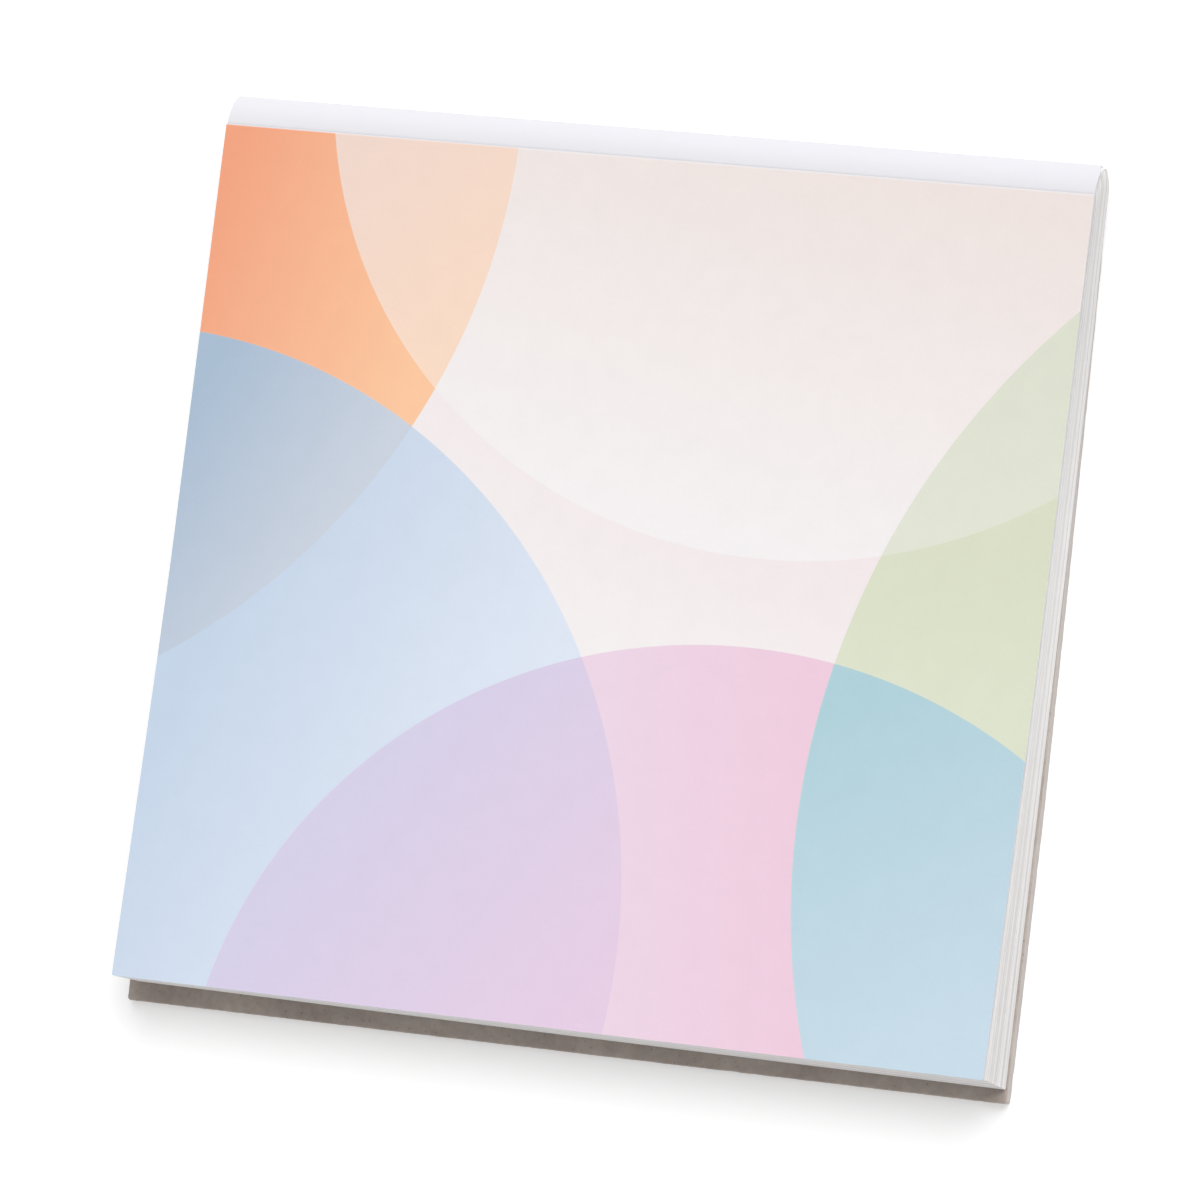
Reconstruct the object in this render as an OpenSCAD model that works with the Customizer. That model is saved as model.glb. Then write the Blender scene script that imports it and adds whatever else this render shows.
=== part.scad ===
// Glue-bound notepad lying on its backing board, with the cover up.
// X runs across the pad, Y towards the glued head, and Z up out of the cover.
// The origin is the middle of the footprint, on the surface that the board lies on.

/* [Sheets] */
// Width of the cover and of the top sheet
sheet_w = 100; // [60:0.5:160]
// Length of the cover from the foot to its crease
cover_l = 94.8; // [60:0.1:200]
// Height of the cover's face above the board at the crease
head_t = 3.9; // [3:0.1:7]
// Rise of the face from the crease to the foot, because the loose sheets lie less tightly
wedge_rise = 1.25; // [0:0.05:5]
// Further rise at the very foot, where the fanned sheets curl up
flare_rise = 1.8; // [0:0.05:4]
// Length of the stretch at the foot that curls up
flare_l = 47; // [10:1:55]
// Shape of the curl: 1 is a straight slope, and more starts it more gently
flare_power = 1.2; // [1:0.1:3]
// How far the lowest sheet has crept to the right of the top one
creep_side = 0.6; // [0:0.1:2]
// How far the lowest sheet has crept out at the foot
creep_foot = 0.5; // [0:0.1:2]

/* [Cover] */
// Thickness of the cover card
card_t = 0.3; // [0.15:0.05:0.5]
// Air between the cover and the top sheet
cover_gap = 0.1; // [0.05:0.05:0.5]
// Width of the open line along the crease
crease_gap = 0.12; // [0.05:0.01:0.5]

/* [Head] */
// Angle at which the card turns down behind the crease
turn_angle = 10; // [5:1:25]
// Radius over the front of the head
front_r = 4.7; // [4.5:0.1:9]
// Radius round the back of the head
back_r = 0.95; // [0.8:0.05:1.4]
// Thickness of the dried padding glue
glue_t = 0.2; // [0.1:0.05:0.3]
// Length of the card's flap that is glued under the sheets
flap_l = 12; // [5:0.5:30]

/* [Backing board] */
// Thickness of the greyboard
board_t = 1.5; // [0.8:0.1:3]
// How far the board stands out at the foot
foot_lip = 2.3; // [0.5:0.1:6]
// How much wider than the cover the board is, on each side
side_lip = 0.8; // [0.1:0.1:4]
// How far the board stays back from the rounded head
head_inset = 0.9; // [0:0.1:3]
// Radius of the board's corners
corner_r = 0.4; // [0.2:0.1:5]
// How far the board was glued out of square, in degrees
board_turn = 0.3; // [0:0.1:1]
// How far the board was glued to the left of the sheets
board_slip = 0.2; // [0:0.1:1]

/* [Hidden] */
$fn = 48;
// Straight steps in the curled stretch and in each arc of the head
flare_steps = 16;
arc_steps = 14;
// Length by which a cutting outline runs past what it cuts
past = 5;

// Height of the cover's face above the board, y from the foot
function wedge(y) = wedge_rise * (1 - y / cover_l);
function flare(y) = y < flare_l ? flare_rise * pow(1 - y / flare_l, flare_power) : 0;
function face_z(y) = head_t + wedge(y) + flare(y);

// Head outline: an arc over the front that meets a smaller arc round the back.
// The front arc starts at the crease, and the back arc lands on the board's face.
front_c = [cover_l - front_r * sin(turn_angle), head_t - front_r * cos(turn_angle)];
back_rise = back_r - front_c.y;
back_c = [front_c.x + sqrt(pow(front_r - back_r, 2) - pow(back_rise, 2)), back_r];
meet_angle = atan2(back_rise, back_c.x - front_c.x);
head_y = back_c.x + back_r;

// Points of an arc from angle a to angle b
function arc(c, r, a, b) =
    [for (i = [0:arc_steps]) let (t = a + (b - a) * i / arc_steps) c + r * [cos(t), sin(t)]];
// The head outline, drawn inwards by a depth, from the crease round to the board
function head_path(depth) = concat(
    arc(front_c, front_r - depth, 90 - turn_angle, meet_angle),
    arc(back_c, back_r - depth, meet_angle, -90));
// The face's outline from the foot to y_end, lowered by a depth
function face_path(depth, y_end) = concat(
    [for (i = [0:flare_steps]) let (y = flare_l * i / flare_steps) [y, face_z(y) - depth]],
    [[y_end, face_z(y_end) - depth]]);
function backwards(points) = [for (i = [len(points) - 1:-1:0]) points[i]];

// Board size and place follow the sheets
board_w = sheet_w + 2 * side_lip;
board_l = foot_lip + head_y - head_inset;
board_c = [-board_slip, board_l / 2 - foot_lip];
board_reach_x = (board_w / 2 - corner_r) * cos(board_turn) + (board_l / 2 - corner_r) * sin(board_turn) + corner_r;
board_reach_y = (board_l / 2 - corner_r) * cos(board_turn) + (board_w / 2 - corner_r) * sin(board_turn) + corner_r;

// Footprint, which sets the origin
low_x = min(board_c.x - board_reach_x, -sheet_w / 2);
high_x = max(board_c.x + board_reach_x, sheet_w / 2 + creep_side);
low_y = min(board_c.y - board_reach_y, -creep_foot);
high_y = max(board_c.y + board_reach_y, head_y);

// From the pad's own place, foot at y = 0 and board's face at z = 0, to the origin
module placed() {
    translate([-(low_x + high_x) / 2, -(low_y + high_y) / 2, board_t]) children();
}

// A side outline, drawn in y and z, carried across the pad from x = a to x = b
module across(a, b) {
    translate([a, 0, 0]) rotate([90, 0, 90]) linear_extrude(b - a) children();
}

module rounded_rectangle(w, l, r) {
    square([w - 2 * r, l], center = true);
    square([w, l - 2 * r], center = true);
    for (x = [-1, 1], y = [-1, 1]) translate([x * (w / 2 - r), y * (l / 2 - r)]) circle(r);
}

// Greyboard under the sheets, a little out of square with them
module backing_board() {
    color("#b3aca3") placed()
        translate([board_c.x, board_c.y, -board_t]) rotate(board_turn)
            linear_extrude(board_t) rounded_rectangle(board_w, board_l, corner_r);
}

// Outline of the sheets seen from the side, with a step for the flap below
module sheets_outline() {
    depth = card_t + glue_t;
    flap_end = back_c.x - flap_l;
    polygon(concat(
        face_path(card_t + cover_gap, cover_l - depth),
        head_path(depth),
        [[back_c.x, card_t], [flap_end, card_t], [flap_end, 0], [-creep_foot, 0]]));
}

// The sheets as one block, each crept out a little further than the one above it
module page_block() {
    left = -sheet_w / 2;
    right = sheet_w / 2;
    high = head_t + wedge_rise + flare_rise;
    color("#f2f0f0") placed() intersection() {
        across(left - past, right + creep_side + past) sheets_outline();
        translate([0, head_y + past, 0]) rotate([90, 0, 0]) linear_extrude(head_y + creep_foot + 2 * past)
            polygon([[left + creep_side, 0], [right + creep_side, 0], [right, high], [left, high]]);
    }
}

// Padding glue that holds the heads of the sheets
module binding_glue() {
    color("#e6e1d6") placed() across(-sheet_w / 2, sheet_w / 2)
        polygon(concat(head_path(card_t), backwards(head_path(card_t + glue_t))));
}

// Card from the crease over the head, ending in the flap glued under the sheets
module spine_wrap() {
    flap_end = back_c.x - flap_l;
    color("#f0eef4") placed() across(-sheet_w / 2, sheet_w / 2)
        polygon(concat(head_path(0), [[flap_end, 0], [flap_end, card_t]], backwards(head_path(card_t))));
}

// Printed front panel of the card, from the crease to the foot
module front_cover() {
    y_end = cover_l - crease_gap;
    color("#f0e7e6") placed() across(-sheet_w / 2, sheet_w / 2)
        polygon(concat(face_path(0, y_end), backwards(face_path(card_t, y_end))));
}

backing_board();
page_block();
binding_glue();
spine_wrap();
front_cover();
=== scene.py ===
"""Looks of a glue-bound notepad that lies on its backing board with the cover up.

Lengths are metres in the part's frame: X runs across the pad, Y towards its glued head and Z up.
Patterns are drawn in millimetres, because the paper's grain and the print are easier to read so.
"""

import logging
import math
from dataclasses import dataclass
from enum import Enum

import bpy
import numpy as np
from mathutils import Matrix, Vector

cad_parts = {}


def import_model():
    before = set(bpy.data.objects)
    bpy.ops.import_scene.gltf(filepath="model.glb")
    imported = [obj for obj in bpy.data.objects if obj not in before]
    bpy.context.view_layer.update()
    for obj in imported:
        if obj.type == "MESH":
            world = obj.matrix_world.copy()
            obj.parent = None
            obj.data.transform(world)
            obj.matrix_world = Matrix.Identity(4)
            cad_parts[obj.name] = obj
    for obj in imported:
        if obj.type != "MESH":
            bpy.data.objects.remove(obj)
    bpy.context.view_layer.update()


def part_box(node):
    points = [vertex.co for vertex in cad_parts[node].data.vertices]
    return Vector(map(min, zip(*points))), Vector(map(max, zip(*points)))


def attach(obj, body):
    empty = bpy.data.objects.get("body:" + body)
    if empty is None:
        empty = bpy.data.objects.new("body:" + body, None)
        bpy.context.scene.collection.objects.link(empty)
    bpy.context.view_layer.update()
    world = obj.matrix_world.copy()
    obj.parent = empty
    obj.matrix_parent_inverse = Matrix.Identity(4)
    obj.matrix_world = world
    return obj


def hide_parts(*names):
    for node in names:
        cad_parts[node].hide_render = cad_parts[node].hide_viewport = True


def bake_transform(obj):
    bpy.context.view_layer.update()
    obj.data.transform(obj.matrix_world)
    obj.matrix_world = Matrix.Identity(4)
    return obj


LOG = logging.getLogger("notepad")
MM = 0.001
PRINT_MAP = "print_place"
PRINT_UNIT = 100.0
TONE_NAME = "sheet_tone"


def paint(red: float, green: float, blue: float) -> tuple[float, float, float, float]:
    """Turns a colour as a picker shows it into the linear colour that a shader takes.

    Args:
        red: Red from 0 to 255.
        green: Green from 0 to 255.
        blue: Blue from 0 to 255.

    Returns:
        Linear red, green and blue, and an alpha of 1.
    """
    shown = np.array([red, green, blue]) / 255
    linear = np.where(shown <= 0.04045, shown / 12.92, ((shown + 0.055) / 1.055) ** 2.4)
    return (*linear.tolist(), 1.0)


class Term:
    """A number in a node tree, which adds Math nodes as it is worked with."""

    def __init__(self, bench: "Bench", socket: bpy.types.NodeSocket) -> None:
        """Keeps the socket that gives the number."""
        self.bench = bench
        self.socket = socket

    def apply(self, operation: str, *others: "Term | float", clamp: bool = False) -> "Term":
        """Adds a Math node whose first input is this number.

        Args:
            operation: Blender's name of the operation.
            others: The other inputs, in order.
            clamp: Whether the result is kept from 0 to 1.

        Returns:
            The result.
        """
        return self.bench.math(operation, self, *others, clamp=clamp)

    def __add__(self, other: "Term | float") -> "Term":
        """Sum."""
        return self.apply("ADD", other)

    __radd__ = __add__

    def __sub__(self, other: "Term | float") -> "Term":
        """Difference."""
        return self.apply("SUBTRACT", other)

    def __rsub__(self, other: "Term | float") -> "Term":
        """Difference, taken from a plain number."""
        return self.bench.math("SUBTRACT", other, self)

    def __mul__(self, other: "Term | float") -> "Term":
        """Product."""
        return self.apply("MULTIPLY", other)

    __rmul__ = __mul__

    def __truediv__(self, other: "Term | float") -> "Term":
        """Quotient."""
        return self.apply("DIVIDE", other)

    def __rtruediv__(self, other: "Term | float") -> "Term":
        """Quotient of a plain number and this one."""
        return self.bench.math("DIVIDE", other, self)

    def __pow__(self, other: "Term | float") -> "Term":
        """Power."""
        return self.apply("POWER", other)

    def clamped(self) -> "Term":
        """This number, kept from 0 to 1."""
        return self.apply("ADD", 0.0, clamp=True)

    def towards(self, other: "Term | float", share: "Term | float") -> "Term":
        """A number that lies a share of the way from this one to another."""
        return self + (other - self) * share


class Bench:
    """Adds and links the nodes of one tree, of shaders or of geometry."""

    def __init__(self, tree: bpy.types.NodeTree) -> None:
        """Keeps the tree that the nodes go into."""
        self.tree = tree

    @staticmethod
    def pick(sockets: bpy.types.bpy_prop_collection, key: str | int) -> bpy.types.NodeSocket:
        """Finds a socket by its place, or by its name among those that are in use."""
        if isinstance(key, int):
            return sockets[key]
        return next(s for s in sockets if s.name == key and s.enabled)

    def feed(self, socket: bpy.types.NodeSocket, value: object) -> None:
        """Links a socket or a number into an input, or sets the input's own value."""
        value = value.socket if isinstance(value, Term) else value
        if isinstance(value, bpy.types.NodeSocket):
            self.tree.links.new(value, socket)
        else:
            socket.default_value = value

    def add(self, kind: str, inputs: dict | None = None, **settings: object) -> bpy.types.Node:
        """Adds a node.

        Args:
            kind: Blender's type name of the node.
            inputs: What goes into its inputs, by name or place.
            settings: The node's own properties.

        Returns:
            The node.
        """
        node = self.tree.nodes.new(kind)
        for name, value in settings.items():
            setattr(node, name, value)
        for key, value in (inputs or {}).items():
            self.feed(self.pick(node.inputs, key), value)
        return node

    def out(self, kind: str, inputs: dict | None = None, output: str | int = 0, **settings: object) -> Term:
        """Adds a node and gives one of its outputs as a number."""
        node = self.add(kind, inputs, **settings)
        return Term(self, self.pick(node.outputs, output))

    def math(self, operation: str, *values: "Term | float", clamp: bool = False) -> Term:
        """Adds a Math node and gives its result."""
        return self.out("ShaderNodeMath", dict(enumerate(values)), operation=operation, use_clamp=clamp)

    def mix(self, share: "Term | float", first: object, second: object, blend: str = "MIX") -> Term:
        """Mixes two colours.

        Args:
            share: How much of the second colour shows, from 0 to 1.
            first: The colour at 0.
            second: The colour at 1.
            blend: Blender's name of the way to mix.

        Returns:
            The mixed colour.
        """
        node = self.add("ShaderNodeMix", data_type="RGBA", blend_type=blend)
        for key, value in (("Factor", share), ("A", first), ("B", second)):
            self.feed(self.pick(node.inputs, key), value)
        return Term(self, self.pick(node.outputs, "Result"))

    def vector(self, x: "Term | float", y: "Term | float", z: "Term | float") -> Term:
        """Puts three numbers together as a vector."""
        return self.out("ShaderNodeCombineXYZ", {0: x, 1: y, 2: z})

    def split(self, vector: object) -> tuple[Term, Term, Term]:
        """Takes a vector apart into its three numbers."""
        node = self.add("ShaderNodeSeparateXYZ", {0: vector})
        return tuple(Term(self, socket) for socket in node.outputs)

    def scaled(self, vector: object, factor: float) -> Term:
        """A vector times a plain number."""
        return self.out("ShaderNodeVectorMath", {"Vector": vector, "Scale": factor}, operation="SCALE")


class Effect:
    """A shader node group that more than one finish uses, built once and kept by name."""

    name = ""
    takes: tuple[tuple[str, str], ...] = ()
    gives: tuple[tuple[str, str], ...] = ()

    def draw(self, bench: Bench, given: dict[str, Term]) -> dict[str, Term]:
        """Adds the nodes inside the group and gives what comes out, by name."""
        raise NotImplementedError

    def tree(self) -> bpy.types.NodeTree:
        """The group's tree, built at its first use."""
        found = bpy.data.node_groups.get(self.name)
        if found:
            return found
        tree = bpy.data.node_groups.new(self.name, "ShaderNodeTree")
        for title, kind in self.takes:
            tree.interface.new_socket(title, in_out="INPUT", socket_type=kind)
        for title, kind in self.gives:
            tree.interface.new_socket(title, in_out="OUTPUT", socket_type=kind)
        bench = Bench(tree)
        entry = bench.add("NodeGroupInput")
        made = self.draw(bench, {title: Term(bench, entry.outputs[title]) for title, _ in self.takes})
        bench.add("NodeGroupOutput", made)
        return tree

    def use(self, bench: Bench, inputs: dict) -> dict[str, Term]:
        """Places the group in a material.

        Args:
            bench: The material's bench.
            inputs: What goes into the group, by name.

        Returns:
            What comes out, by name.
        """
        node = bench.add("ShaderNodeGroup", node_tree=self.tree())
        for title, value in inputs.items():
            bench.feed(node.inputs[title], value)
        return {title: Term(bench, node.outputs[title]) for title, _ in self.gives}


class PaperGrain(Effect):
    """Fine flecks and broad clouds of tone, as paper and board have them."""

    name = "paper_grain"
    takes = (
        ("Place", "NodeSocketVector"),
        ("Fleck", "NodeSocketFloat"),
        ("Cloud", "NodeSocketFloat"),
        ("Depth", "NodeSocketFloat"),
    )
    gives = (("Tone", "NodeSocketFloat"), ("Height", "NodeSocketFloat"))

    def draw(self, bench: Bench, given: dict[str, Term]) -> dict[str, Term]:
        """Adds two noises, of which the finer one is also the height of the surface."""
        fine, broad = (
            bench.out(
                "ShaderNodeTexNoise",
                {"Vector": given["Place"], "Scale": 1.0 / given[size], "Detail": detail},
            )
            for size, detail in (("Fleck", 3.0), ("Cloud", 2.0))
        )
        tone = 1.0 + given["Depth"] * ((fine - 0.5) + (broad - 0.5) * 1.4)
        return {"Tone": tone, "Height": fine}


class CircleMask(Effect):
    """The inside of one large circle of the print, with an edge as soft as ink on card."""

    name = "circle_mask"
    takes = (
        ("Place", "NodeSocketVector"),
        ("Centre", "NodeSocketVector"),
        ("Radii", "NodeSocketVector"),
        ("Softness", "NodeSocketFloat"),
    )
    gives = (("Inside", "NodeSocketFloat"),)

    def draw(self, bench: Bench, given: dict[str, Term]) -> dict[str, Term]:
        """Measures how far a place lies inside the circle and softens the step at its edge."""
        away = bench.out(
            "ShaderNodeVectorMath", {0: given["Place"], 1: given["Centre"]}, operation="SUBTRACT"
        )
        shrunk = bench.out("ShaderNodeVectorMath", {0: away, 1: given["Radii"]}, operation="DIVIDE")
        reach = bench.out("ShaderNodeVectorMath", {0: shrunk}, "Value", operation="LENGTH")
        across = bench.split(given["Radii"])[0]
        inside = ((1.0 - reach) * across / given["Softness"] + 0.5).clamped()
        return {"Inside": inside}


class TintRun(Effect):
    """A field of ink that runs evenly from one tint to another."""

    name = "tint_run"
    takes = (
        ("Place", "NodeSocketVector"),
        ("Heading", "NodeSocketVector"),
        ("Start", "NodeSocketFloat"),
        ("End", "NodeSocketFloat"),
        ("First", "NodeSocketColor"),
        ("Last", "NodeSocketColor"),
    )
    gives = (("Color", "NodeSocketColor"),)

    def draw(self, bench: Bench, given: dict[str, Term]) -> dict[str, Term]:
        """Measures a place along the heading and mixes the two tints by it."""
        along = bench.out(
            "ShaderNodeVectorMath",
            {0: given["Place"], 1: given["Heading"]},
            "Value",
            operation="DOT_PRODUCT",
        )
        share = ((along - given["Start"]) / (given["End"] - given["Start"])).clamped()
        return {"Color": bench.mix(share, given["First"], given["Last"])}


@dataclass(frozen=True)
class Finish:
    """What every finish has: its name, its gloss, and the grain of its surface in millimetres."""

    name: str
    roughness: float = 0.75
    specular: float = 0.25
    fleck: float = 0.3
    cloud: float = 4.0
    depth: float = 0.03
    relief: float = 0.012

    def place(self, bench: Bench) -> Term:
        """Place on the piece in millimetres, from the frame's origin."""
        return bench.scaled(bench.out("ShaderNodeTexCoord", output="Object"), 1 / MM)

    def colour(self, bench: Bench, place: Term, tone: Term) -> Term:
        """The surface's colour; each finish gives its own."""
        raise NotImplementedError

    def material(self) -> bpy.types.Material:
        """Builds the material, or gives the one that was built before."""
        found = bpy.data.materials.get(self.name)
        if found:
            return found
        material = bpy.data.materials.new(self.name)
        material.use_nodes = True
        bench = Bench(material.node_tree)
        shader = material.node_tree.nodes["Principled BSDF"]
        place = self.place(bench)
        grain = PaperGrain().use(
            bench, {"Place": place, "Fleck": self.fleck, "Cloud": self.cloud, "Depth": self.depth}
        )
        bench.feed(shader.inputs["Base Color"], self.colour(bench, place, grain["Tone"]))
        shader.inputs["Roughness"].default_value = self.roughness
        shader.inputs["Specular IOR Level"].default_value = self.specular
        bump = bench.out(
            "ShaderNodeBump",
            {"Strength": 1.0, "Distance": self.relief * MM, "Height": grain["Height"]},
            "Normal",
        )
        bench.feed(shader.inputs["Normal"], bump)
        return material


@dataclass(frozen=True)
class PlainStock(Finish):
    """Paper, card or glue of one colour, with its grain."""

    base: tuple[float, float, float] = (235, 234, 236)

    def colour(self, bench: Bench, place: Term, tone: Term) -> Term:
        """The stock's own colour, lighter and darker with the grain."""
        return bench.mix(1.0, paint(*self.base), bench.vector(tone, tone, tone), "MULTIPLY")


@dataclass(frozen=True)
class WritingPaper(PlainStock):
    """Writing paper, of which each sheet is a little lighter or darker than the next.

    The cut sides carry painted shade that turns them greyer towards the head.
    """

    sheet_depth: float = 0.3
    side_start: float = 49.6
    side_fade: float = 0.3
    # painted shade: how far along and how much the cut sides darken towards the head
    painted_shade_start: float = 8.0
    painted_shade_length: float = 35.0
    head_side_painted_shade: float = 0.13

    def colour(self, bench: Bench, place: Term, tone: Term) -> Term:
        """The stock's colour, varied by the tone that each sheet carries, with painted shade on the cut
        sides towards the head.
        """
        own = bench.out("ShaderNodeAttribute", output="Fac", attribute_name=TONE_NAME)
        x, y, _ = bench.split(place)
        side = ((x.apply("ABSOLUTE") - self.side_start) / self.side_fade).clamped()
        # painted shade: the cut sides are darkened more and more towards the head
        painted_shade_share = ((y - self.painted_shade_start) / self.painted_shade_length).clamped()
        varied = tone * (1.0 + (own - 0.5) * self.sheet_depth) * (1.0 - side * painted_shade_share * self.head_side_painted_shade)
        return super().colour(bench, place, varied)


class Circle(Enum):
    """The print's large circles: centre and radii in millimetres, from the middle of the cover's foot."""

    ORANGE = (-96.3, 96.1, 80.9, 74.1)
    CREAM = (17.6, 104.2, 55.5, 51.5)
    BLUE = (-54.7, 7.9, 62.4, 63.8)
    PINK = (17.9, -10.4, 57.8, 53.5)
    GREEN = (118.9, 25.7, 93.1, 84.1)


@dataclass(frozen=True)
class Tint:
    """Ink where some circles overlap, running from one colour to another along a bearing."""

    circles: tuple[Circle, ...]
    bearing: float
    start: float
    end: float
    first: tuple[float, float, float]
    last: tuple[float, float, float]


TINTS = (
    Tint((), 68, 39.8, 58.3, (244, 239, 239), (243, 233, 234)),
    Tint((Circle.ORANGE,), 165, 41.0, 70.5, (252, 200, 160), (242, 164, 129)),
    Tint((Circle.CREAM,), 81, 56.3, 97.8, (245, 241, 242), (238, 227, 223)),
    Tint((Circle.BLUE,), 157, 21.7, 56.2, (221, 229, 243), (196, 212, 231)),
    Tint((Circle.PINK,), 186, -28.6, -6.7, (238, 204, 222), (236, 213, 229)),
    Tint((Circle.GREEN,), 90, 37.8, 59.2, (221, 226, 204), (218, 222, 198)),
    Tint((Circle.ORANGE, Circle.CREAM), 133, 67.1, 91.0, (249, 219, 197), (241, 216, 204)),
    Tint((Circle.ORANGE, Circle.BLUE), 152, 52.3, 74.2, (202, 210, 223), (169, 189, 210)),
    Tint((Circle.BLUE, Circle.PINK), 145, -1.4, 34.1, (229, 205, 228), (212, 207, 231)),
    Tint((Circle.PINK, Circle.GREEN), 118, -19.3, 20.2, (200, 219, 233), (175, 208, 217)),
    Tint((Circle.GREEN, Circle.CREAM), 89, 57.1, 78.7, (226, 229, 213), (221, 224, 207)),
)


@dataclass(frozen=True)
class PrintedCard(PlainStock):
    """Card printed with large overlapping circles, up to a margin below the crease."""

    ink_edge: float = 0.12
    print_length: float = 94.7

    def place(self, bench: Bench) -> Term:
        """Place on the unbent card in millimetres, from the middle of the cover's foot."""
        return bench.scaled(bench.out("ShaderNodeUVMap", uv_map=PRINT_MAP), PRINT_UNIT)

    def colour(self, bench: Bench, place: Term, tone: Term) -> Term:
        """Lays one tint over the next inside the circles that it belongs to."""
        masks = {
            circle: CircleMask().use(
                bench,
                {
                    "Place": place,
                    "Centre": (*circle.value[:2], 0),
                    "Radii": (*circle.value[2:], 1),
                    "Softness": self.ink_edge,
                },
            )["Inside"]
            for circle in Circle
        }
        laid = None
        for tint in TINTS:
            turn = math.radians(tint.bearing)
            ink = TintRun().use(
                bench,
                {
                    "Place": place,
                    "Heading": (math.cos(turn), math.sin(turn), 0),
                    "Start": tint.start,
                    "End": tint.end,
                    "First": paint(*tint.first),
                    "Last": paint(*tint.last),
                },
            )["Color"]
            if laid is None:
                laid = ink
                continue
            share = masks[tint.circles[0]]
            for circle in tint.circles[1:]:
                share = share * masks[circle]
            laid = bench.mix(share, laid, ink)
        printed = ((self.print_length - bench.split(place)[1]) / self.ink_edge + 0.5).clamped()
        shown = bench.mix(printed, paint(*self.base), laid)
        return bench.mix(1.0, shown, bench.vector(tone, tone, tone), "MULTIPLY")


@dataclass(frozen=True)
class Greyboard(Finish):
    """Recycled grey-brown board with clouds, specks and thin layers at its cut edges, over which painted
    light makes the cut edges paler.
    """

    light: tuple[float, float, float] = (198, 187, 178)
    dark: tuple[float, float, float] = (170, 157, 150)
    speck: tuple[float, float, float] = (116, 104, 95)
    # painted light: the pale colour laid over the cut sides, and how much of it shows
    cut_side_painted_light: tuple[float, float, float] = (208, 203, 200)
    cut_painted_light_share: float = 0.8
    layer: float = 0.22
    stretch: float = 0.12
    contrast: float = 3.0
    speck_level: float = 0.66
    speck_edge: float = 9.0
    speck_share: float = 0.6
    edge_fade: float = 0.05
    thickness: float = 1.5

    def colour(self, bench: Bench, place: Term, tone: Term) -> Term:
        """Mixes the pulp's light and dark, then adds specks, and paints light onto the cut sides as a paler,
        greyer colour.
        """
        x, y, z = bench.split(place)
        flat = bench.vector(x * self.stretch, y * self.stretch, z / self.layer)
        layers = bench.out("ShaderNodeTexNoise", {"Vector": flat, "Scale": 1.0, "Detail": 2.0})
        pulp = bench.out(
            "ShaderNodeTexNoise", {"Vector": place, "Scale": 0.9, "Detail": 4.0, "Roughness": 0.65}
        )
        share = (((layers + pulp) * 0.5 - 0.5) * self.contrast + 0.5).clamped()
        body = bench.mix(share, paint(*self.light), paint(*self.dark))
        specks = bench.out("ShaderNodeTexNoise", {"Vector": place, "Scale": 2.6, "Detail": 1.0})
        spots = ((specks - self.speck_level) * self.speck_edge).clamped() * self.speck_share
        spotted = bench.mix(spots, body, paint(*self.speck))
        half = self.thickness / 2
        # painted light: the cut sides are made paler and greyer, as lit faces look
        cut = ((half - self.edge_fade - (z - half).apply("ABSOLUTE")) / self.edge_fade).clamped()
        shown = bench.mix(cut * self.cut_painted_light_share, spotted, paint(*self.cut_side_painted_light))
        return bench.mix(1.0, shown, bench.vector(tone, tone, tone), "MULTIPLY")


WHITE_CARD = PlainStock("white_card_finish", base=(225, 224, 229), fleck=0.25, depth=0.012, relief=0.006)
PRINTED_CARD = PrintedCard("printed_card_finish", base=(225, 224, 229), fleck=0.45, cloud=3.0, depth=0.03)
WRITING_PAPER = WritingPaper(
    "writing_paper_finish", base=(235, 233, 232), fleck=0.12, depth=0.03, relief=0.008
)
PADDING_GLUE = PlainStock(
    "padding_glue_finish", roughness=0.45, base=(231, 230, 227), fleck=0.5, depth=0.05
)
GREYBOARD = Greyboard(
    "greyboard_finish", roughness=0.9, specular=0.15, fleck=0.16, cloud=2.2, depth=0.10, relief=0.03
)


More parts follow.
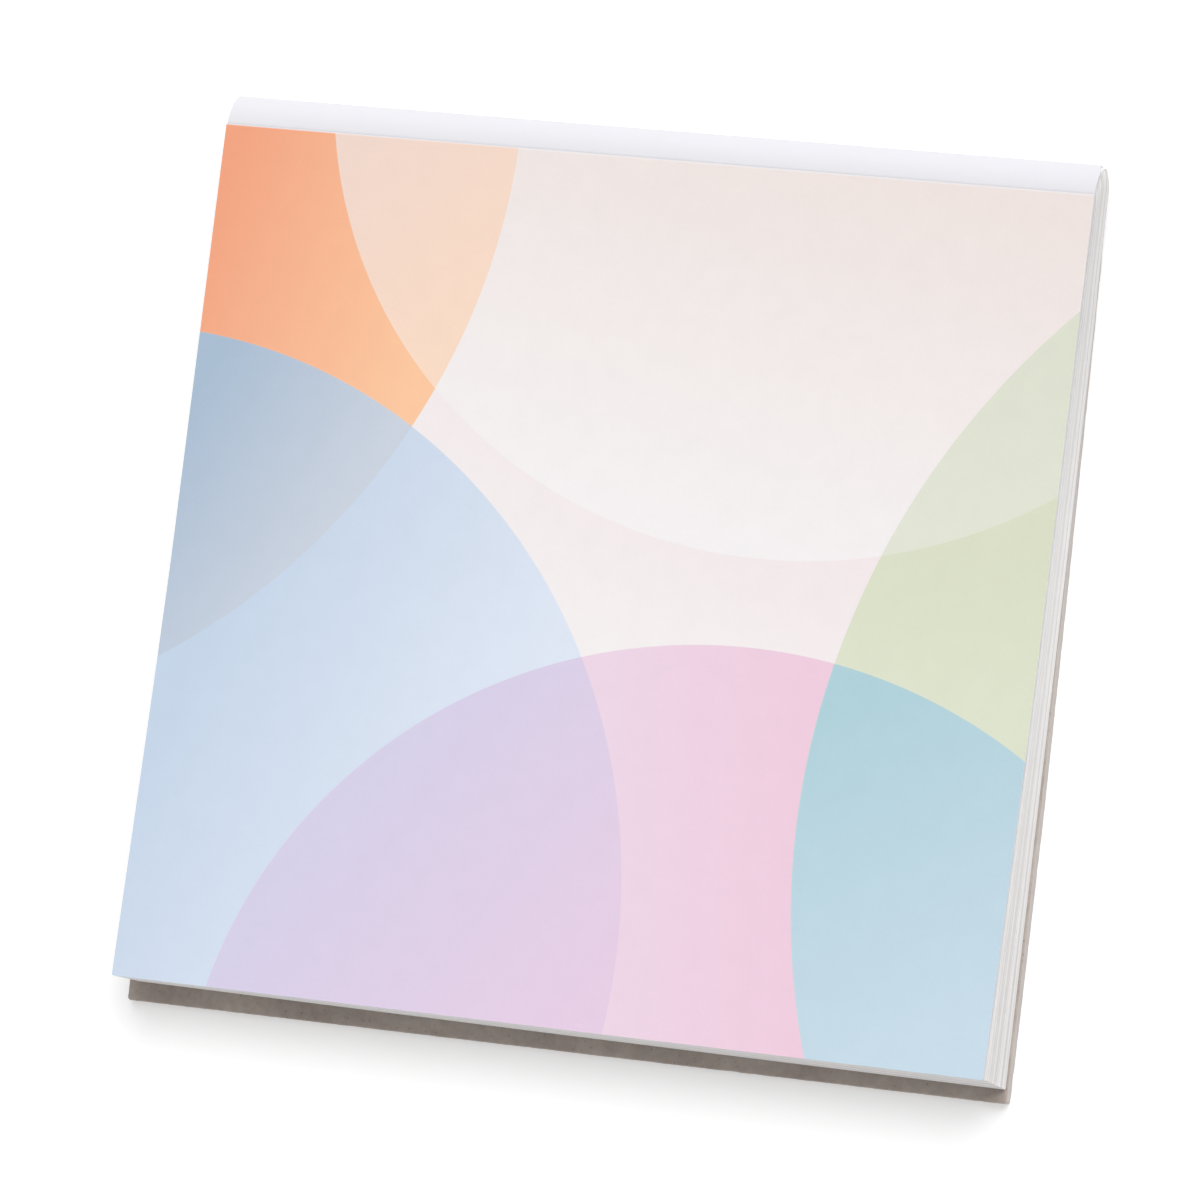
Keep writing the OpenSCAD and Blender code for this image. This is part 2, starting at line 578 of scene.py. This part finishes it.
@dataclass(frozen=True)
class PadShape:
    """The pad's form, as the part's source gives it, and where it lies in the frame."""

    left: float
    right: float
    foot: float
    crease: float
    board_top: float
    head_rise: float = 3.9 * MM
    wedge_rise: float = 1.25 * MM
    curl_rise: float = 1.8 * MM
    curl_length: float = 47 * MM
    curl_power: float = 1.2
    card: float = 0.3 * MM
    cover_air: float = 0.1 * MM
    turn: float = math.radians(10)
    front_radius: float = 4.7 * MM
    back_radius: float = 0.95 * MM
    glue: float = 0.2 * MM
    flap: float = 12 * MM
    side_creep: float = 0.6 * MM
    head_creep: float = 0.5 * MM
    foot_slant: float = 0.3 * MM
    head_round: float = 0.28 * MM

    @classmethod
    def from_frame(cls, crease_gap: float = 0.12 * MM) -> "PadShape":
        """Reads the pad's place from the CAD nodes.

        Args:
            crease_gap: Width of the open line that the CAD has at the crease.

        Returns:
            The shape, in its place.
        """
        low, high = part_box("front_cover")
        board_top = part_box("backing_board")[1].z
        return cls(low.x, high.x, low.y, high.y + crease_gap, board_top)

    @property
    def middle(self) -> float:
        """X of the cover's middle line."""
        return (self.left + self.right) / 2

    @property
    def front_centre(self) -> tuple[float, float]:
        """Y and Z of the centre of the arc over the front of the head."""
        return (
            self.crease - self.front_radius * math.sin(self.turn),
            self.board_top + self.head_rise - self.front_radius * math.cos(self.turn),
        )

    @property
    def back_centre(self) -> tuple[float, float]:
        """Y and Z of the centre of the arc round the back of the head."""
        y, z = self.front_centre
        rise = self.board_top + self.back_radius - z
        return y + math.sqrt((self.front_radius - self.back_radius) ** 2 - rise**2), z + rise

    @property
    def meet_angle(self) -> float:
        """Angle at which the two arcs of the head meet."""
        front, back = self.front_centre, self.back_centre
        return math.atan2(back[1] - front[1], back[0] - front[0])

    def face(self, y: np.ndarray) -> np.ndarray:
        """Height of the cover's face at a place between the foot and the crease."""
        length = self.crease - self.foot
        along = y - self.foot
        curl = np.clip(1 - along / self.curl_length, 0, None) ** self.curl_power
        wedge = self.wedge_rise * (1 - along / length)
        return self.board_top + self.head_rise + wedge + self.curl_rise * curl

    def arc(
        self, centre: tuple[float, float], radius: float, start: float, end: float, steps: int
    ) -> np.ndarray:
        """Points of an arc, as Y and Z.

        Args:
            centre: Y and Z of its centre.
            radius: Its radius.
            start: Angle of its first point, in radians.
            end: Angle of its last point.
            steps: Number of straight steps.

        Returns:
            One row of Y and Z for each point.
        """
        angle = np.linspace(start, end, steps + 1)
        return np.c_[centre[0] + radius * np.cos(angle), centre[1] + radius * np.sin(angle)]

    def head(self, start: float, steps: int = 28) -> np.ndarray:
        """Y and Z along the outside of the head, from an angle on its front arc round to the board."""
        front = self.arc(self.front_centre, self.front_radius, start, self.meet_angle, steps)
        back = self.arc(self.back_centre, self.back_radius, self.meet_angle, -math.pi / 2, steps)
        return np.vstack([front, back[1:]])

    def crept(self, z: np.ndarray) -> np.ndarray:
        """How far the sheets' heads lie to the right at a height, because the block was cut aslant."""
        share = np.clip((z - self.board_top) / (self.head_rise - self.card), 0, 1)
        return self.head_creep * (1 - share)


class Piece:
    """A mesh piece of the pad, made from points and faces and put on a CAD body."""

    @staticmethod
    def mesh_object(name: str, points: np.ndarray, faces: list[tuple[int, ...]]) -> bpy.types.Object:
        """Makes an object at the origin from points that are already in their place.

        Args:
            name: The piece's name.
            points: One row of X, Y and Z for each point.
            faces: The points of each face, turning outwards.

        Returns:
            The object, linked to the scene.
        """
        mesh = bpy.data.meshes.new(name)
        mesh.from_pydata(points.tolist(), [], faces)
        mesh.validate()
        made = bpy.data.objects.new(name, mesh)
        bpy.context.scene.collection.objects.link(made)
        return made

    @staticmethod
    def soften(made: bpy.types.Object, limit: float = math.radians(35)) -> None:
        """Shades a piece smoothly, apart from edges that turn by more than a limit."""
        made.data.shade_smooth()
        made.data.set_sharp_from_angle(angle=limit)

    @staticmethod
    def slab(upper: np.ndarray, lower: np.ndarray) -> tuple[np.ndarray, list[tuple[int, ...]], int]:
        """Closes two grids of points into a thin slab.

        Args:
            upper: Points of the upper face, by row and column.
            lower: Points of the lower face, in the same order.

        Returns:
            The points, the faces, and how many of the first faces are the upper one's.
        """
        rows, columns = upper.shape[:2]
        count = rows * columns
        index = np.arange(count).reshape(rows, columns)
        corners = (index[:-1, :-1], index[:-1, 1:], index[1:, 1:], index[1:, :-1])
        quads = np.stack([c.ravel() for c in corners], axis=1)
        rim = np.concatenate([index[0, :-1], index[:-1, -1], index[-1, :0:-1], index[:0:-1, 0]])
        nxt = np.roll(rim, -1)
        walls = np.stack([rim + count, nxt + count, nxt, rim], axis=1)
        faces = np.vstack([quads, quads[:, ::-1] + count, walls])
        points = np.vstack([upper.reshape(-1, 3), lower.reshape(-1, 3)])
        return points, [tuple(face) for face in faces.tolist()], len(quads)

    @staticmethod
    def lowered(path: np.ndarray, depth: float) -> np.ndarray:
        """Moves a path of Y and Z inwards, square to itself, by a depth."""
        step = np.diff(path, axis=0)
        step /= np.linalg.norm(step, axis=1)[:, None]
        mean = np.vstack([step[:1], step[:-1] + step[1:], step[-1:]])
        mean /= np.linalg.norm(mean, axis=1)[:, None]
        return path + depth * np.c_[mean[:, 1], -mean[:, 0]]

    @staticmethod
    def report(made: bpy.types.Object) -> None:
        """Logs a piece's name, faces and size."""
        sizes = " x ".join(f"{side / MM:.2f}" for side in made.dimensions)
        LOG.info("%s: %d faces, %s mm", made.name, len(made.data.polygons), sizes)


@dataclass
class PrintedCover(Piece):
    """The card's printed panel, with the crease and the first bit of card behind it.

    The card bends at the crease when the cover is turned, so this piece reaches a little past it.
    """

    shape: PadShape
    tail: float = 0.45 * MM
    bend_half: float = 0.35 * MM
    score_depth: float = 0.045 * MM
    score_half: float = 0.10 * MM
    corner: float = 0.2 * MM
    overhang: float = 0.1 * MM
    columns: int = 40
    rows: int = 90

    @property
    def tail_angle(self) -> float:
        """Angle on the head's front arc at which this piece ends."""
        return math.pi / 2 - self.shape.turn - self.tail / self.shape.front_radius

    def path(self) -> np.ndarray:
        """Y and Z of the card's outer face, from the foot to the end of the tail."""
        shape = self.shape
        round_steps = shape.foot + self.corner * (1 - np.cos(np.linspace(0, math.pi / 2, 6)))
        panel = np.linspace(shape.foot + self.corner, shape.crease - 2 * self.bend_half, self.rows)
        fine = np.linspace(shape.crease - 2 * self.bend_half, shape.crease, 24)
        along = np.concatenate([round_steps[:-1], panel[:-1], fine])
        flat = np.c_[along, shape.face(along)]
        behind = shape.arc(
            shape.front_centre, shape.front_radius, math.pi / 2 - shape.turn, self.tail_angle, 14
        )
        path = np.vstack([flat, behind[1:]])
        path[:, 1] -= self.score_depth * np.exp(-(((path[:, 0] - shape.crease) / self.score_half) ** 2))
        return path

    def build(self) -> bpy.types.Object:
        """Builds the panel and dresses it."""
        shape = self.shape
        path = self.path()
        under = self.lowered(path, shape.card)
        from_foot = np.clip(self.corner - (path[:, 0] - shape.foot), 0, self.corner)
        inset = self.corner - np.sqrt(self.corner**2 - from_foot**2)
        share = np.linspace(0, 1, self.columns + 1)
        left = shape.left + inset + self.overhang * (path[:, 0] > shape.crease)
        x = left[:, None] + (shape.right - inset - left)[:, None] * share
        reach = (shape.crease - path[:, :1]) / (shape.crease - shape.foot)
        slant = shape.foot_slant * share * np.clip(reach, 0, None)
        upper, lower = (
            np.dstack([x, line[:, :1] + slant, np.repeat(line[:, 1:], len(share), 1)])
            for line in (path, under)
        )
        points, faces, printed = self.slab(upper, lower)
        made = self.mesh_object("printed_cover", points, faces)
        made.data.materials.append(PRINTED_CARD.material())
        made.data.materials.append(WHITE_CARD.material())
        for number, face in enumerate(made.data.polygons):
            face.material_index = 0 if number < printed else 1
        self.lay_map(made)
        self.soften(made)
        start = (shape.middle, shape.crease + self.bend_half, shape.board_top)
        end = (shape.middle, shape.crease - self.bend_half, shape.board_top)
        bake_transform(made)
        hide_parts("front_cover")
        return made

    def lay_map(self, made: bpy.types.Object) -> None:
        """Stores each point's place on the unbent card, so that the print stays when the card bends."""
        layer = made.data.uv_layers.new(name=PRINT_MAP)
        unit = PRINT_UNIT * MM
        middle, foot = self.shape.middle, self.shape.foot
        for loop in made.data.loops:
            point = made.data.vertices[loop.vertex_index].co
            layer.data[loop.index].uv = ((point.x - middle) / unit, (point.y - foot) / unit)


@dataclass
class HeadLayer(Piece):
    """A thin layer carried across the pad along a path that runs over the head."""

    shape: PadShape
    columns: int = 24

    def layer(self, name: str, path: np.ndarray, thickness: float, ends: np.ndarray) -> bpy.types.Object:
        """Builds the layer.

        Args:
            name: The piece's name.
            path: Y and Z of the layer's outer face.
            thickness: Its thickness, inwards from the path.
            ends: X of its left and right ends, for each point of the path.

        Returns:
            The piece, without a material.
        """
        share = np.linspace(0, 1, self.columns + 1)
        x = ends[:, :1] + (ends[:, 1:] - ends[:, :1]) * share
        upper, lower = (
            np.dstack([x, *(np.repeat(line[:, k : k + 1], len(share), 1) for k in (0, 1))])
            for line in (path, self.lowered(path, thickness))
        )
        points, faces, _ = self.slab(upper, lower)
        made = self.mesh_object(name, points, faces)
        self.soften(made)
        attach(made, "pad")
        return made


@dataclass
class SpineWrap(HeadLayer):
    """The unprinted card from behind the crease round the head, ending in the flap under the sheets."""

    start_angle: float = 0.0
    inset: float = 0.1 * MM
    back_inset: float = 0.45 * MM
    inset_start: float = 0.6

    def build(self) -> bpy.types.Object:
        """Builds the wrap and dresses it."""
        shape = self.shape
        flap_end = (shape.back_centre[0] - shape.flap, shape.board_top)
        path = np.vstack([shape.head(self.start_angle), [flap_end]])
        reach = (path[:, 0] - shape.crease) / (path[:, 0].max() - shape.crease)
        behind = np.clip((reach - self.inset_start) / (1 - self.inset_start), 0, 1)
        right = shape.right - self.back_inset * behind**2
        ends = np.c_[np.full(len(path), shape.left + self.inset), right]
        made = self.layer("spine_wrap_card", path, shape.card, ends)
        made.data.materials.append(WHITE_CARD.material())
        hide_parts("spine_wrap")
        return made


@dataclass
class BindingGlue(HeadLayer):
    """The dried film of padding glue between the sheets' heads and the card."""

    def build(self) -> bpy.types.Object:
        """Builds the film and dresses it."""
        shape = self.shape
        path = self.lowered(shape.head(math.pi / 2 - shape.turn), shape.card)
        ends = shape.crept(path[:, 1])[:, None] + [shape.left, shape.right - shape.head_round]
        made = self.layer("binding_glue_film", path, shape.glue, ends)
        made.data.materials.append(PADDING_GLUE.material())
        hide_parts("binding_glue")
        return made


@dataclass
class SheetStack(Piece):
    """The writing sheets: tight at the head, and fanned and crept out towards the foot."""

    shape: PadShape
    count: int = 35
    thickness: float = 0.088 * MM
    steps: int = 48
    side_step: float = 0.35 * MM
    head_step: float = 0.15 * MM
    foot_creep: float = 0.5 * MM
    foot_step: float = 0.02 * MM
    slip: float = 0.05 * MM
    foot_slip: float = 0.012 * MM
    head_hold: float = 0.6
    left_hold: float = 0.5
    step_crowding: float = 1.5
    flap_ramp: float = 3 * MM
    round_length: float = 1.5 * MM
    seed: int = 7

    def sizes(self) -> dict[str, float]:
        """The tree's inputs that are lengths, places or plain numbers, by name."""
        shape = self.shape
        depth = shape.card + shape.glue
        front, back = shape.front_centre, shape.back_centre
        return {
            "Middle": shape.middle,
            "Width": shape.right - shape.left,
            "Foot": shape.foot,
            "Crease": shape.crease,
            "Board top": shape.board_top,
            "Head rise": shape.head_rise,
            "Wedge rise": shape.wedge_rise,
            "Curl rise": shape.curl_rise,
            "Curl length": shape.curl_length,
            "Curl power": shape.curl_power,
            "Cover depth": shape.card + shape.cover_air,
            "Flap thickness": shape.card,
            "Flap end": back[0] - shape.flap,
            "Flap ramp": self.flap_ramp,
            "Front radius": shape.front_radius - depth,
            "Front centre Y": front[0],
            "Front centre Z": front[1],
            "Back radius": shape.back_radius - depth,
            "Back centre Y": back[0],
            "Back centre Z": back[1],
            "Meet height": front[1] + (shape.front_radius - depth) * math.sin(shape.meet_angle),
            "Sheet thickness": self.thickness,
            "Side creep": shape.side_creep,
            "Head creep": shape.head_creep,
            "Foot slant": shape.foot_slant,
            "Head round": shape.head_round,
            "Round length": self.round_length,
            "Side step": self.side_step,
            "Head step": self.head_step,
            "Foot creep": self.foot_creep,
            "Foot step": self.foot_step,
            "Slip": self.slip,
            "Foot slip": self.foot_slip,
        }

    def tree(self, paper: bpy.types.Material) -> bpy.types.GeometryNodeTree:
        """Builds the tree that makes the sheets.

        Args:
            paper: The material of every sheet.

        Returns:
            The tree, with a named input for each size, the count, the steps and the seed.
        """
        tree = bpy.data.node_groups.new("sheet_stack", "GeometryNodeTree")
        tree.interface.new_socket("Geometry", in_out="OUTPUT", socket_type="NodeSocketGeometry")
        for title in ("Sheets", "Steps", "Seed"):
            tree.interface.new_socket(title, in_out="INPUT", socket_type="NodeSocketInt")
        for title in self.sizes():
            tree.interface.new_socket(title, in_out="INPUT", socket_type="NodeSocketFloat")
        bench = Bench(tree)
        entry = bench.add("NodeGroupInput")
        size = {s.name: Term(bench, s) for s in entry.outputs if s.name}
        instances = self.sheets(bench, size)
        placed = bench.add(
            "GeometryNodeSetPosition",
            {"Geometry": instances.socket, "Position": self.position(bench, size)},
        )
        sharp = bench.out("GeometryNodeInputMeshEdgeAngle").apply("GREATER_THAN", math.radians(35))
        shaded = bench.add(
            "GeometryNodeSetShadeSmooth",
            {"Geometry": placed.outputs[0], "Selection": sharp, "Shade Smooth": False},
            domain="EDGE",
        )
        dressed = bench.add("GeometryNodeSetMaterial", {"Geometry": shaded.outputs[0], "Material": paper})
        bench.add("NodeGroupOutput", {"Geometry": dressed.outputs[0]})
        return tree

    def sheets(self, bench: Bench, size: dict[str, Term]) -> Term:
        """Adds one unit box for each sheet, which carries its place in the stack.

        Args:
            bench: The tree's bench.
            size: The tree's inputs.

        Returns:
            The realized boxes.
        """
        line = bench.out(
            "GeometryNodeMeshLine", {"Count": size["Sheets"], "Offset": (0.0, 0.0, 0.0)}, mode="OFFSET"
        )
        index = bench.out("GeometryNodeInputIndex")
        chance = bench.out(
            "FunctionNodeRandomValue", {"Seed": size["Seed"]}, "Value", data_type="FLOAT"
        )
        weight = 1.0 + 4.0 * chance**3.0
        gathered = bench.add(
            "GeometryNodeAccumulateField", {"Value": weight}, data_type="FLOAT", domain="POINT"
        )
        before, total = (Term(bench, bench.pick(gathered.outputs, name)) for name in ("Trailing", "Total"))
        tone = bench.out(
            "FunctionNodeRandomValue", {"Seed": size["Seed"] + 1.0}, "Value", data_type="FLOAT"
        )
        carried = {
            "even": (index + 0.5) / size["Sheets"],
            "clumped": (before + weight * 0.5) / total,
            TONE_NAME: tone,
        }
        for name, value in carried.items():
            line = bench.out(
                "GeometryNodeStoreNamedAttribute",
                {"Geometry": line, "Name": name, "Value": value},
                data_type="FLOAT",
                domain="POINT",
            )
        box = bench.out(
            "GeometryNodeMeshCube",
            {"Size": (1.0, 1.0, 1.0), "Vertices X": 3, "Vertices Y": size["Steps"], "Vertices Z": 2},
            "Mesh",
        )
        copies = bench.out("GeometryNodeInstanceOnPoints", {"Points": line, "Instance": box})
        return bench.out("GeometryNodeRealizeInstances", {"Geometry": copies})

    def position(self, bench: Bench, size: dict[str, Term]) -> Term:
        """Works out where each point of the unit boxes goes.

        Args:
            bench: The tree's bench.
            size: The tree's inputs.

        Returns:
            The point's place in the frame.
        """
        even, clumped, tone = (
            bench.out("GeometryNodeInputNamedAttribute", {"Name": name}, "Attribute", data_type="FLOAT")
            for name in ("even", "clumped", TONE_NAME)
        )
        across, along, up = bench.split(bench.out("GeometryNodeInputPosition"))
        return self.bent(bench, size, (across, along + 0.5, up), (even, clumped, tone))

    def bent(
        self,
        bench: Bench,
        size: dict[str, Term],
        local: tuple[Term, Term, Term],
        stack: tuple[Term, Term, Term],
    ) -> Term:
        """Bends a unit box into a sheet that follows the pad's form.

        Args:
            bench: The tree's bench.
            size: The tree's inputs.
            local: Place in the unit box: across and up from -0.5 to 0.5, and along from 0 to 1.
            stack: The sheet's even and clumped share of the stack's height, and its tone.

        Returns:
            The point's place in the frame.
        """
        across, along, up = local
        even, clumped, tone = stack
        jog = (tone - 0.5) * size["Slip"] * (1.0 - along * self.head_hold)
        low = size["Board top"] + size["Flap thickness"]
        top = size["Board top"] + size["Head rise"] - size["Cover depth"]
        at_head = low.towards(top, even)
        front, back = (
            (size[f"{arc} radius"] ** 2.0 - (at_head - size[f"{arc} centre Z"]) ** 2.0).apply("MAXIMUM", 0.0)
            for arc in ("Front", "Back")
        )
        over = at_head.apply("GREATER_THAN", size["Meet height"])
        head_end = (size["Back centre Y"] + back**0.5).towards(size["Front centre Y"] + front**0.5, over)
        height = even + up / size["Sheets"]
        slant = size["Foot slant"] * (across + 0.5)
        held = 1.0 - (0.0 - across).clamped() * self.left_hold
        creep = size["Foot creep"].towards(size["Foot step"] - slant, height) * held
        foot_end = size["Foot"] - creep - (tone - 0.5) * size["Foot slip"]
        y = head_end.towards(foot_end, (1.0 - along) ** self.step_crowding)
        from_foot = (y - size["Foot"]).apply("MAXIMUM", 0.0)
        loose = (1.0 - from_foot / (size["Crease"] - size["Foot"])).clamped()
        curl = (1.0 - from_foot / size["Curl length"]).apply("MAXIMUM", 0.0) ** size["Curl power"]
        ceiling = top + size["Wedge rise"] * loose + size["Curl rise"] * curl
        ramp = ((y - size["Flap end"]) / size["Flap ramp"] + 1.0).clamped()
        floor = size["Board top"] + size["Flap thickness"] * ramp
        z = floor.towards(ceiling, even.towards(clumped, loose)) + up * size["Sheet thickness"]
        step = size["Side step"].towards(size["Head step"], along)
        shift = size["Side creep"].towards(size["Head creep"], along).towards(step, height)
        near_end = (1.0 - (head_end - y) / size["Round length"]).clamped()
        rounding = size["Head round"] * near_end**2.0 * (across * 2.0).clamped()
        x = size["Middle"] + across * size["Width"] + shift + jog - rounding
        return bench.vector(x, y, z)

    def build(self) -> bpy.types.Object:
        """Builds the stack, turns it into a plain mesh and puts it on the pad."""
        made = bpy.data.objects.new("sheet_stack", bpy.data.meshes.new("sheet_stack"))
        bpy.context.scene.collection.objects.link(made)
        modifier = made.modifiers.new("sheets", "NODES")
        modifier.node_group = self.tree(WRITING_PAPER.material())
        values = {**self.sizes(), "Sheets": self.count, "Steps": self.steps, "Seed": self.seed}
        for item in modifier.node_group.interface.items_tree:
            if item.name in values:
                modifier[item.identifier] = values[item.name]
        depsgraph = bpy.context.evaluated_depsgraph_get()
        mesh = bpy.data.meshes.new_from_object(
            made.evaluated_get(depsgraph), preserve_all_data_layers=True, depsgraph=depsgraph
        )
        made.modifiers.clear()
        made.data = mesh
        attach(made, "pad")
        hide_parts("page_block")
        return made


@dataclass
class BackingBoard(Piece):
    """The greyboard under the sheets, a little out of square with them and with worn edges."""

    width: float = 101.6 * MM
    length: float = 99.687 * MM
    turn: float = math.radians(0.3)
    corner: float = 0.4 * MM
    edge: float = 0.15 * MM
    bow_places: tuple[float, ...] = (-0.5, -0.2, 0.05, 0.4, 0.5)
    bow_depths: tuple[float, ...] = (0.0, 0.18 * MM, 0.08 * MM, -0.24 * MM, -0.55 * MM)
    raggedness: float = 0.018 * MM
    side_steps: int = 120
    corner_steps: int = 6
    edge_steps: int = 3
    seed: int = 3

    def outline(self, inset: float) -> np.ndarray:
        """X and Y round the board, with every outline having the same number of points.

        Args:
            inset: How far inside the board's edge the outline lies.

        Returns:
            One row of X and Y for each point, anticlockwise from the right foot corner.
        """
        radius = self.corner - inset
        half = np.array([self.width / 2 - self.corner, self.length / 2 - self.corner])
        points = []
        for k, (sx, sy) in enumerate(((1, -1), (1, 1), (-1, 1), (-1, -1))):
            angle = math.radians(90 * (k - 1)) + np.linspace(0, math.pi / 2, self.corner_steps + 1)
            arc = half * (sx, sy) + radius * np.c_[np.cos(angle), np.sin(angle)]
            points.append(arc)
        ring = []
        for k, arc in enumerate(points):
            after = points[(k + 1) % 4][0]
            share = np.linspace(0, 1, self.side_steps + 1)[1:-1, None]
            ring += [arc, arc[-1] + (after - arc[-1]) * share]
        return np.vstack(ring)

    def build(self) -> bpy.types.Object:
        """Builds the board, dresses it and puts it on the pad."""
        low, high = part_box("backing_board")
        angle = np.linspace(0, math.pi / 2, self.edge_steps + 1)
        lower = [(self.edge * (1 - math.sin(a)), low.z + self.edge * (1 - math.cos(a))) for a in angle]
        upper = [(inset, low.z + high.z - z) for inset, z in reversed(lower)]
        profile = lower + upper
        count = len(self.outline(0.0))
        rough = np.random.default_rng(self.seed).normal(0, self.raggedness, count)
        rings = [np.c_[self.outline(inset), np.full(count, z)] for inset, z in profile]
        outward = self.outline(0.0) - self.outline(self.edge)
        outward /= np.linalg.norm(outward, axis=1)[:, None]
        for ring in rings:
            ring[:, :2] -= outward * np.abs(rough)[:, None]
        points = np.vstack(rings)
        bow = np.interp(points[:, 1] / self.length, self.bow_places, self.bow_depths)
        points[:, 0] += bow * (points[:, 0] > 0) * 2 * points[:, 0] / self.width
        turned = points[:, :2] @ np.array(Matrix.Rotation(-self.turn, 2))
        points[:, :2] = turned + [(low.x + high.x) / 2, (low.y + high.y) / 2]
        faces = [tuple(range(count))[::-1], tuple(range(len(points) - count, len(points)))]
        for level in range(len(rings) - 1):
            base = level * count
            for k in range(count):
                after = (k + 1) % count
                faces.append((base + k, base + after, base + count + after, base + count + k))
        made = self.mesh_object("grey_backing_board", points, faces)
        made.data.materials.append(GREYBOARD.material())
        self.soften(made)
        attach(made, "pad")
        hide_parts("backing_board")
        return made


@dataclass
class Studio:
    """Pale floor, soft light from the head's side, and the camera at the photograph's angle."""

    camera_place: tuple[float, float, float] = (0.27183, -0.03798, 0.76752)
    aim: tuple[float, float, float] = (0.0002, -0.00126, 0.005)
    page_turn: float = math.radians(7.203)
    lens: float = 225.0
    horizon: float = 0.85
    zenith: float = 0.2
    front_fill: float = 0.28
    lamp: float = 0.55
    lamp_height: float = math.radians(52)
    lamp_turn: float = math.radians(22)
    lamp_softness: float = math.radians(45)
    floor_tone: float = 0.86
    floor_lift: float = 0.3
    floor_half: float = 3.0

    @staticmethod
    def seen(bench: Bench) -> Term:
        """1 where the camera, a reflection or a clear material looks, and 0 for light."""
        path = bench.add("ShaderNodeLightPath")
        camera, glossy, clear = (
            Term(bench, path.outputs[f"Is {kind} Ray"]) for kind in ("Camera", "Glossy", "Transmission")
        )
        return camera.apply("MAXIMUM", glossy).apply("MAXIMUM", clear)

    def light_world(self) -> None:
        """Lights the pad from all round, most from low down at its foot, and shows as white."""
        world = bpy.data.worlds.new("studio")
        world.use_nodes = True
        world.node_tree.nodes.clear()
        bench = Bench(world.node_tree)
        _, y, z = bench.split(bench.out("ShaderNodeTexCoord", output="Generated"))
        height = z.clamped()
        level = self.horizon + height * (self.zenith - self.horizon)
        level = level + (0.0 - y).clamped() * (1.0 - height) * self.front_fill
        light = bench.add("ShaderNodeBackground", {"Color": (1, 1, 1, 1), "Strength": level})
        shown = bench.add("ShaderNodeBackground", {"Color": (1, 1, 1, 1), "Strength": 1.0})
        mixed = bench.add(
            "ShaderNodeMixShader", {0: self.seen(bench), 1: light.outputs[0], 2: shown.outputs[0]}
        )
        bench.add("ShaderNodeOutputWorld", {"Surface": mixed.outputs[0]})
        bpy.context.scene.world = world

    def hang_lamp(self) -> None:
        """Adds a broad lamp high on the head's side, which gives the shadow at the foot."""
        data = bpy.data.lights.new("broad_lamp", "SUN")
        data.energy = self.lamp * math.pi / math.sin(self.lamp_height)
        data.angle = self.lamp_softness
        lamp = bpy.data.objects.new("broad_lamp", data)
        level = math.cos(self.lamp_height)
        towards = Vector(
            (level * math.sin(self.lamp_turn), level * math.cos(self.lamp_turn), math.sin(self.lamp_height))
        )
        lamp.rotation_euler = towards.to_track_quat("Z", "Y").to_euler()
        bpy.context.scene.collection.objects.link(lamp)

    def lay_floor(self) -> None:
        """Adds a pale floor that takes the pad's shadow and shows as white elsewhere."""
        half = self.floor_half
        corners = np.array([(-half, -half, 0), (half, -half, 0), (half, half, 0), (-half, half, 0)])
        floor = Piece.mesh_object("studio_floor", corners, [(0, 1, 2, 3)])
        material = bpy.data.materials.new("studio_floor")
        material.use_nodes = True
        material.node_tree.nodes.clear()
        bench = Bench(material.node_tree)
        matt = bench.add("ShaderNodeBsdfDiffuse", {"Color": (*[self.floor_tone] * 3, 1)})
        lift = bench.add("ShaderNodeEmission", {"Strength": self.seen(bench) * self.floor_lift})
        both = bench.add("ShaderNodeAddShader", {0: matt.outputs[0], 1: lift.outputs[0]})
        bench.add("ShaderNodeOutputMaterial", {"Surface": both.outputs[0]})
        floor.data.materials.append(material)

    def set_camera(self) -> None:
        """Puts the camera where the photograph was taken from."""
        data = bpy.data.cameras.new("camera")
        data.lens = self.lens
        data.sensor_width = 36.0
        data.clip_start, data.clip_end = 0.05, 20.0
        camera = bpy.data.objects.new("camera", data)
        place = Vector(self.camera_place)
        back = (place - Vector(self.aim)).normalized()
        page_up = Vector((-math.sin(self.page_turn), math.cos(self.page_turn), 0))
        right = page_up.cross(back).normalized()
        up = back.cross(right)
        camera.matrix_world = Matrix.Translation(place) @ Matrix((right, up, back)).transposed().to_4x4()
        bpy.context.scene.collection.objects.link(camera)
        bpy.context.scene.camera = camera

    def build(self) -> None:
        """Sets the whole studio up."""
        bpy.context.scene.view_settings.view_transform = "Standard"
        self.set_camera()
        self.light_world()
        self.hang_lamp()
        self.lay_floor()


def main() -> None:
    """Loads the frame, builds the studio and the pad's pieces, and notes the sizes."""
    logging.basicConfig(level=logging.INFO, format="%(name)s %(message)s")
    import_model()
    Studio().build()
    shape = PadShape.from_frame()
    cover = PrintedCover(shape)
    makers = (
        BackingBoard(),
        SheetStack(shape),
        BindingGlue(shape),
        SpineWrap(shape, start_angle=cover.tail_angle),
        cover,
    )
    for maker in makers:
        maker.report(maker.build())


if __name__ == "__main__":
    main()
